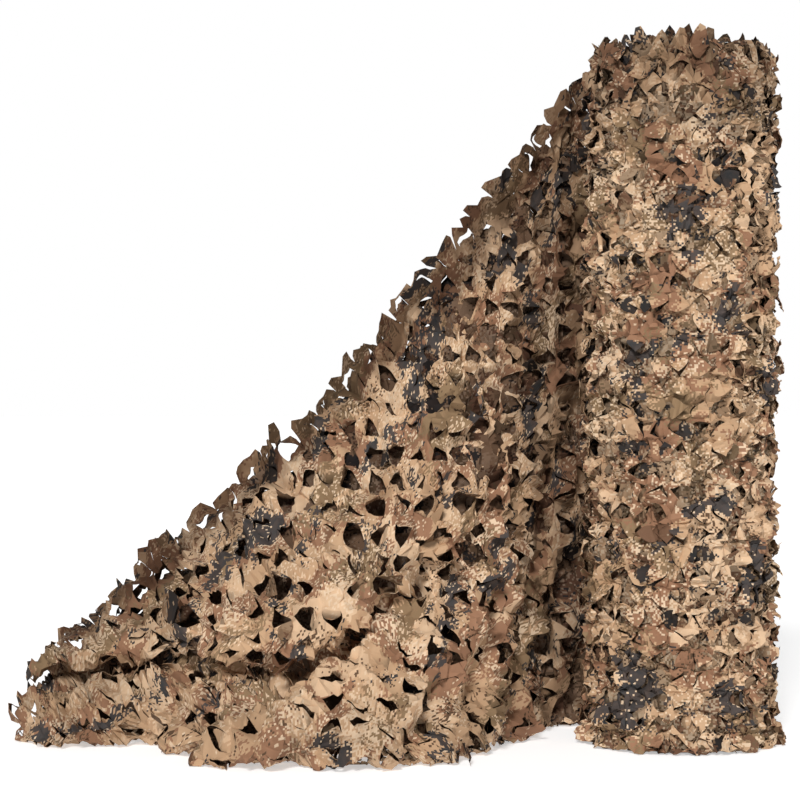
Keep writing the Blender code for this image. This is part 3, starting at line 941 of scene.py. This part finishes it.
def build_loose_end():
    """The front sheet: a leaf-cut net laid on the drape, with slanting folds low down."""
    rng = np.random.default_rng(7)
    cells = (COLUMNS, ROWS_UP + ROWS_UNDER)
    middle_across = slope_place(cell_middles(cells, NET_PITCH))[0][..., 1]
    kept = (middle_across > 0) & (middle_across < NET_WIDTH)
    opening = slope_opening(rng, cells)
    printed, flat, height, quads, triangles = leaf_net(cells, NET_PITCH, rng, slope_look(cells), kept,
                                                       opening)
    lying, up = slope_place(flat)
    above_selvedge = np.maximum(-lying[:, 1], 0)
    lying[:, 1] = np.clip(lying[:, 1], 0, NET_WIDTH)
    calm = np.clip(flat[:, 0] / NET_PITCH, 0.1, 1)
    print_place, print_up = slope_place(printed)
    height = height + fades(print_up, LOW_FOLDS) * slanting_folds(printed)
    points = lift_off(DRAPE, (LOOSE_LENGTH, NET_WIDTH), lying, height * calm)
    points[:, 2] += above_selvedge
    piece = cloth_piece("loose_end", above_floor(points), quads, triangles, print_place,
                        printed_cloth("loose_end_print"), slope_painted_shade(lying, up))
    wear(piece, "net_loose_end")
    print("loose end of", kept.sum(), "cells")


build_loose_end()

# %% [markdown]
# The cloth lies folded behind the slope: through the holes of the front layer one sees more net, in
# shadow. Two more layers are hung there. The one in the middle is pulled tight, so its leaves lie shut
# and it keeps the holes dark. The one at the back hangs loose, with its print turned to the back. Both
# turn their unprinted side to the front, and that side is painted nearly black as painted shadow. Both
# start a little below the selvedge, where light still comes through, and go down to the floor.

# %% Layers behind the slope
BEHIND_END = 2.05
TIGHT_LAYER = {"distance": 0.030, "top": 0.060, "seed": 11, "opened": 0.0}
BACK_LAYER = {"distance": 0.054, "top": 0.075, "seed": 17, "opened": 0.5}
TIGHT_LOOK = {**SLOPE_LOOK, "shut": 0.0, "bend": (0.1, 0.7), "curl": (-0.2, 0.5), "over": 0.0,
              "lean": 0.06, "lift": 0.0020, "loose": 0.0, "outward": 0.3, "edge": 0.012}
BACK_LOOK = {**SLOPE_LOOK, "bend": (0.1, 0.8), "over": 0.04, "lean": 0.22, "outward": 0.10,
             "edge": 0.012}


def behind_grid(distance, below_top, rows=150):
    """Points and outward directions of a layer at a distance behind the slope, from the floor up.

    Each section is a rounded line through five points: on the floor, half way up to the fold, above the
    fold, half way up the slope, and below the selvedge. Also gives the columns' lengths, the longest of
    them, and the places of the columns in the net.
    """
    keep = COLUMN_AT <= BEHIND_END
    c = {name: values[keep] for name, values in SECTION_AT.items()}
    reach = c["top_y"] - c["toe_y"]
    drop = c["top_z"] - NOSE / 2
    ledge_at = reach * (c["top_z"] - c["ledge_z"]) / drop
    back = ledge_at - 0.5 * c["ledge_in"] - distance
    controls = np.stack([
        np.stack([back + 0.02, 0.004 + 0 * back], axis=-1),
        np.stack([back, 0.45 * c["ledge_z"]], axis=-1),
        np.stack([back, c["ledge_z"] + 0.02], axis=-1),
        np.stack([0.62 * ledge_at + c["belly"] - distance, 0.5 * (c["ledge_z"] + c["top_z"])], axis=-1),
        np.stack([-0.5 * distance + 0.05 * ledge_at, c["top_z"] - below_top], axis=-1)], axis=1)
    curve = rounded(controls)
    travelled = travel(curve)[1]
    longest = travelled[:, -1].max()
    forward, up = (np.stack([np.interp(np.linspace(0, longest, rows), travelled[k], curve[k, :, axis])
                             for k in range(len(curve))]) for axis in (0, 1))
    points = section_points(c, forward, up)
    return (points, outward_directions(points, 1, 0)), travelled[:, -1], longest, COLUMN_RUN[keep]


def build_layer_behind(name, layer, look):
    """A layer of net behind the slope, pulled open at its top and as far as layer says elsewhere."""
    rng = np.random.default_rng(layer["seed"])
    grid, lengths, longest, run = behind_grid(layer["distance"], layer["top"])
    cells = (int(run[-1] / NET_PITCH), int(longest / NET_PITCH))
    middles = cell_middles(cells, NET_PITCH)
    below_top = np.interp(middles[..., 0], run, lengths) - middles[..., 1]
    kept = below_top > 0
    opening = np.maximum(1 - ramp(below_top, 0.02, 0.16), layer["opened"])
    printed, flat, height, quads, triangles = leaf_net(cells, NET_PITCH, rng, look, kept, opening)
    share = np.interp(flat[:, 0], run, np.linspace(0, 1, len(run)))
    length_here = np.interp(flat[:, 0], run, lengths)
    over = np.maximum(flat[:, 1] - length_here, 0)
    lying = np.stack([share, np.minimum(flat[:, 1], length_here) / longest], axis=-1)
    points = lift_off(grid, (1, 1), lying, height)
    points[:, 2] += over
    # The side turned to the front is painted nearly black: painted shadow.
    piece = cloth_piece(name, above_floor(points), quads, triangles, printed + layer["seed"],
                        printed_cloth(name + "_print", 1.0, SHADOW_GROUND), print_outside=False)
    wear(piece)


build_layer_behind("loose_end_behind", TIGHT_LAYER, TIGHT_LOOK)
build_layer_behind("loose_end_back", BACK_LAYER, BACK_LOOK)

# %% [markdown]
# ## The roll
#
# On the roll the net isn't pulled open, so 34 rows of cuts stand in its height in place of 28, and the
# winding presses the leaves together. Three turns of net are laid one under the other, and each fills
# the gaps of the one outside it. A leaf's height is squeezed by the hyperbolic tangent: small heights
# stay as they are, and large ones never get past a limit. The turns further in are painted darker, as
# painted shade, because less light reaches them, and near the rim the print is painted darker as
# painted shade too. A number added to the places of a turn's print gives it a part of the pattern of
# its own.

# %% Roll
ROLL_RADIUS = 0.212            # to the outside of the last turn
TURN = 0.012
ROLL_HEIGHT = 1.482
FOOT_FLARE = 0.012             # the lowest leaves are pressed outwards
FOOT_FLARE_HEIGHT = 0.07
SHOULDER_DROP = 0.012          # the highest ones lean in
SHOULDER_HEIGHT = 0.05
ROLL_ROWS = 34
ROLL_PITCH = NET_WIDTH / ROLL_ROWS
PRESSED = 0.034                # leaves never stand out further than this
RIM_WAVE = 0.006
RIM_WAVE_REACH = 0.20          # below the rim
# Painted shade at the rim: how much darker the print is painted there, and how far below the rim it begins
# and is full.
ROLL_RIM_SHADE = 0.74               # at the rim
ROLL_SHADE_FROM, ROLL_SHADE_FULL = 0.30, 0.04
ROLL_LOOK = {"leaf": 0.90, "width": 0.92, "sway": 0.22, "sharp": (1.0, 1.6), "shut": 0.20,
             "bend": (0.0, 0.50), "curl": (-0.5, 0.5), "outward": 0.60, "over": 0.0, "lean": 0.37,
             "relief": 0.0036, "crumple": 0.0041, "lift": 0.0058, "loose": 1.0, "edge": 0.016,
             "jitter": 0.20}


def round_axis(angle, radius, height):
    """Points at angles, radii and heights round the roll's axis, and their directions away from it."""
    angle = angle + 0 * height
    outward = np.stack([np.cos(angle), np.sin(angle), 0 * angle], axis=-1)
    points = outward * (radius + 0 * height)[..., None]
    points[..., 2] = height
    return points, outward


def roll_grid(inset, rows=90, columns=120):
    """Points and outward directions round the roll, inset from its last turn, from floor to rim."""
    turned = np.linspace(1, 0, columns)[:, None]
    height = np.linspace(0, ROLL_HEIGHT, rows)[None, :]
    flare = FOOT_FLARE * np.exp(-(height / FOOT_FLARE_HEIGHT) ** 2) * np.clip(6 * turned, 0, 1)
    shoulder = SHOULDER_DROP * np.exp(-((ROLL_HEIGHT - height) / SHOULDER_HEIGHT) ** 2)
    radius = ROLL_RADIUS - TURN * (1 - turned) - inset + flare - shoulder
    return round_axis(math.pi / 2 + 2 * math.pi * turned, radius, height)


def roll_turn(name, inset, seed, painted_shade):
    """One turn of crowded net round the roll, at an inset from its outside."""
    rng = np.random.default_rng(seed)
    length = 2 * math.pi * (ROLL_RADIUS - inset)
    cells = (round(length / ROLL_PITCH), ROLL_ROWS)
    size = (cells[0] * ROLL_PITCH, cells[1] * ROLL_PITCH)
    printed, flat, height, quads, triangles = leaf_net(cells, ROLL_PITCH, rng, ROLL_LOOK)
    points = lift_off(roll_grid(inset), size, flat, PRESSED * np.tanh(height / PRESSED))
    near_rim = ramp(points[:, 2], ROLL_HEIGHT - RIM_WAVE_REACH, ROLL_HEIGHT)
    points[:, 2] += RIM_WAVE * near_rim * waves(flat[:, :1] + [[0, 0]], rng, 8, 0.06, 0.20)
    above_floor(points)
    # Painted shade: the print is painted darker towards the rim.
    dark = ROLL_RIM_SHADE * ramp(points[:, 2], ROLL_HEIGHT - ROLL_SHADE_FROM, ROLL_HEIGHT - ROLL_SHADE_FULL)
    piece = cloth_piece(name, points, quads, triangles, printed + seed,
                        printed_cloth(name + "_print", painted_shade), dark)
    wear(piece)
    return piece


# The turns further in are painted darker: painted shade.
roll_outer = roll_turn("roll_outer_turn", inset=0.013, seed=21, painted_shade=1.0)
roll_turn("roll_second_turn", inset=0.023, seed=34, painted_shade=0.52)
roll_turn("roll_third_turn", inset=0.033, seed=55, painted_shade=0.30)
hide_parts("net_roll")

# %% [markdown]
# The turns further in are one long strip wound on itself. Only its upper edge shows, on the roll's
# end, so the leaves are cut into the top rows of it alone, and the rest is plain cloth. Both are
# painted darker than the outer turn, the plain cloth much darker, as painted shade.

# %% Inner turns
INNER_OUT = 0.172              # radius at which the inner turns start
INNER_IN = 0.030               # and end
END_SINK = 0.035               # how much lower the roll's end is in its middle
PLAIN_BELOW = 0.06             # the plain turns end this far below the rim
EDGE_FOOT, EDGE_TOP = 0.10, 0.006   # the cut edge starts and ends this far below it
EDGE_PRINT, TURNS_PRINT = 5.0, 9.0  # parts of the pattern that the two pieces show


def spiral_grid(low, high, columns=900, rows=8):
    """Points and outward directions of a strip wound inwards by one turn of cloth each time round.

    The length of the strip is the area of its end divided by the turn's thickness, which gives the
    radius after each length of strip. Two sine waves make the winding uneven.
    """
    length = math.pi * (INNER_OUT**2 - INNER_IN**2) / TURN
    travelled = np.linspace(0, length, columns)
    radius = np.sqrt(INNER_OUT**2 - travelled * TURN / math.pi)
    angle = (INNER_OUT - radius) * 2 * math.pi / TURN
    wobble = 0.0022 * np.sin(3 * angle + 0.7) + 0.0015 * np.sin(7 * angle)
    radius = (radius + wobble)[:, None]
    sunk = END_SINK * (1 - (radius / INNER_OUT) ** 2)
    height = low + (high - sunk - low) * np.linspace(0, 1, rows)[None, :]
    return round_axis(angle[:, None], radius, height), length


EDGE_LOOK = {**ROLL_LOOK, "leaf": 0.80, "width": 0.70, "bend": (0.05, 0.45), "curl": (-0.2, 0.3),
             "lean": 0.10, "relief": 0.0022, "crumple": 0.0008, "lift": 0.0015, "edge": 0.012}


def inner_edge():
    """The leaf-cut upper edge of the inner turns, two rows of cells."""
    rng = np.random.default_rng(89)
    grid, length = spiral_grid(ROLL_HEIGHT - EDGE_FOOT, ROLL_HEIGHT - EDGE_TOP)
    cells = (int(length / ROLL_PITCH), 2)
    printed, flat, height, quads, triangles = leaf_net(cells, ROLL_PITCH, rng, EDGE_LOOK)
    points = lift_off(grid, (cells[0] * ROLL_PITCH, cells[1] * ROLL_PITCH), flat, height)
    # Shade 0.9: painted shade, a little darker than the outer turn.
    piece = cloth_piece("roll_inner_edge", points, quads, triangles, printed + EDGE_PRINT,
                        printed_cloth("roll_inner_edge_print", 0.9))
    wear(piece)


def inner_turns():
    """The plain rest of the inner turns, from the floor to below the cut edge."""
    (points, _), length = spiral_grid(0.001, ROLL_HEIGHT - PLAIN_BELOW, columns=620, rows=4)
    rows, columns = points.shape[:2]
    at = np.arange(rows * columns).reshape(rows, columns)
    quads = np.stack([at[:-1, :-1], at[1:, :-1], at[1:, 1:], at[:-1, 1:]], axis=-1).reshape(-1, 4)
    printed = np.stack(np.meshgrid(np.linspace(0, length, rows), np.linspace(0, ROLL_HEIGHT, columns),
                                   indexing="ij"), axis=-1).reshape(-1, 2)
    no_triangles = np.zeros((0, 3), int)
    # Shade 0.30: painted shade, as the deep turns lie in shadow.
    piece = cloth_piece("roll_inner_turns", points.reshape(-1, 3), quads, no_triangles,
                        printed + TURNS_PRINT, printed_cloth("roll_inner_turns_print", 0.30))
    wear(piece)


inner_edge()
inner_turns()

# %% [markdown]
# ## Floor and light
#
# A plain pale floor under a key light from the front, a little to the left, with a weak and very soft
# light from the right and one from behind, which lights the cloth's far side. The world looks white
# but gives only a little fill, so the gaps between the leaves stay dark.

# %% Stage
FLOOR_GLOW = 0.46
FLOOR_REACH = 40
WHITE = (1, 1, 1, 1)


def pale_floor():
    """Matt white with a little light of its own, as a lit studio table has."""
    n = Nodes("pale_floor")
    n.shader.inputs["Base Color"].default_value = (0.90, 0.90, 0.90, 1)
    n.shader.inputs["Roughness"].default_value = 0.9
    n.shader.inputs["Emission Color"].default_value = WHITE
    n.shader.inputs["Emission Strength"].default_value = FLOOR_GLOW
    return n.material


floor_mesh = bpy.data.meshes.new("floor")
floor_corners = [(x * FLOOR_REACH, y * FLOOR_REACH, 0) for x, y in ((-1, -1), (1, -1), (1, 1), (-1, 1))]
floor_mesh.from_pydata(floor_corners, [], [(0, 1, 2, 3)])
floor = placed("floor", floor_mesh)
floor_mesh.materials.append(pale_floor())
print("floor", 2 * FLOOR_REACH, "m wide, glow", FLOOR_GLOW)

# %% Sky and lights
FILL = 0.16
sky = bpy.data.worlds.new("sky")
bpy.context.scene.world = sky
sky.use_nodes = True
sky_nodes, sky_links = sky.node_tree.nodes, sky.node_tree.links
fill = sky_nodes["Background"]
seen = sky_nodes.new("ShaderNodeBackground")
fill.inputs["Strength"].default_value = FILL
for background in (fill, seen):
    background.inputs["Color"].default_value = WHITE
paths = sky_nodes.new("ShaderNodeLightPath")
choose = sky_nodes.new("ShaderNodeMixShader")
sky_links.new(paths.outputs["Is Camera Ray"], choose.inputs[0])
sky_links.new(fill.outputs[0], choose.inputs[1])
sky_links.new(seen.outputs[0], choose.inputs[2])
sky_links.new(choose.outputs[0], sky_nodes["World Output"].inputs["Surface"])
print("sky: white to the camera, a fill of", FILL, "to everything else")


def soft_sun(name, azimuth, elevation, spread, power):
    """A distant soft light from a direction, counted from the camera's side, left being negative."""
    data = bpy.data.lights.new(name, "SUN")
    data.energy = power
    data.angle = math.radians(spread)
    lamp = placed(name, data)
    lamp.rotation_euler = (math.radians(90 - elevation), 0, math.radians(azimuth))
    print(name, "light of", power, "from", azimuth, "degrees,", elevation, "up")


soft_sun("key", azimuth=-10, elevation=31, spread=12, power=2.75)
soft_sun("side_fill", azimuth=50, elevation=20, spread=50, power=0.25)
soft_sun("back_fill", azimuth=172, elevation=26, spread=60, power=0.55)
bpy.context.scene.view_settings.view_transform = "Standard"
